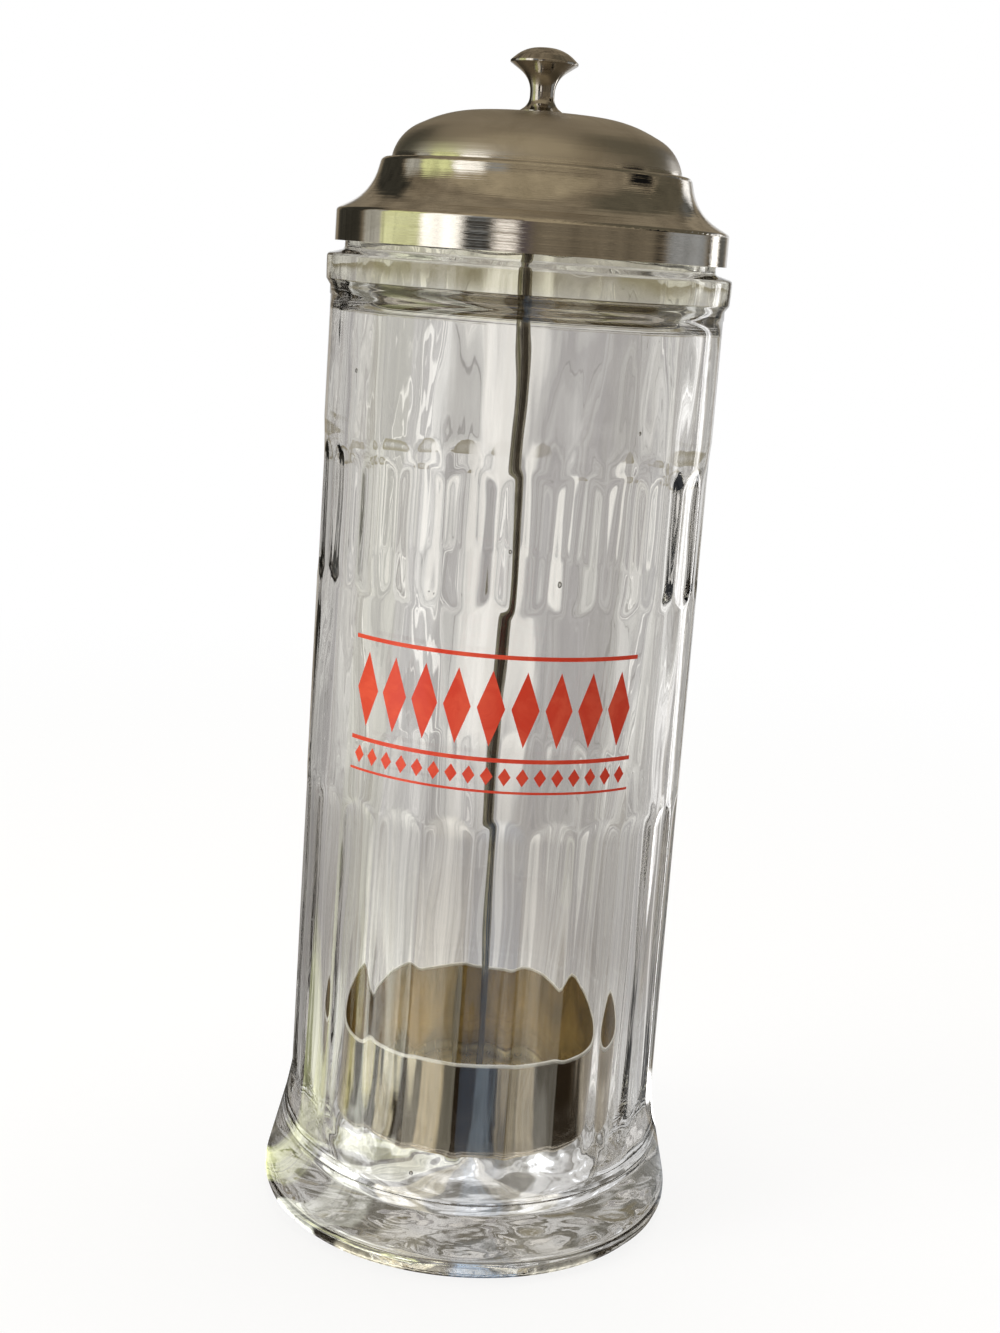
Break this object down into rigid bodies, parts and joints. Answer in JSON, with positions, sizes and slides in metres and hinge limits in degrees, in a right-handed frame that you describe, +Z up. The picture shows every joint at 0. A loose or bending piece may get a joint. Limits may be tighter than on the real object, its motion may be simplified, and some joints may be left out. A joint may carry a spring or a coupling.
{
  "type": "straw dispenser",
  "caption": "Fluted glass straw jar with a spun metal lid; pulling the knob lifts the cup that holds the straws out of the glass.",
  "frame": {"origin": "on the table, at the centre of the foot", "axes": "+Z up along the jar's axis, from the foot to the knob; -Y is the front, where a rib between two flutes stands"},
  "size_m": [0.106, 0.106, 0.2924],
  "materials": {
    "jar_glass": "clear pressed glass with faint ripples and seeds",
    "lid_chrome": "polished plate over spun sheet, with fine turning lines",
    "knob_chrome": "polished plate over a turned knob",
    "rod_steel": "drawn bright rod",
    "cup_nickel": "polished plate outside, satin and warmer inside",
    "fastener_steel": "plated nuts and washers"
  },
  "bodies": {
    "jar": {"glass_jar": "jar_glass"},
    "insert": {"lid_shell": "lid_chrome", "lift_knob": "knob_chrome", "lift_rod": "rod_steel", "straw_cup": "cup_nickel", "lid_washer": "fastener_steel", "lid_nut": "fastener_steel", "cup_upper_washer": "fastener_steel", "cup_upper_nut": "fastener_steel", "cup_lower_washer": "fastener_steel", "cup_lower_nut": "fastener_steel"}
  },
  "joints": [
    {"name": "lift", "type": "slide", "parent": "jar", "child": "insert", "axis": [0, 0, 1], "range_m": [0, 0.26]}
  ]
}
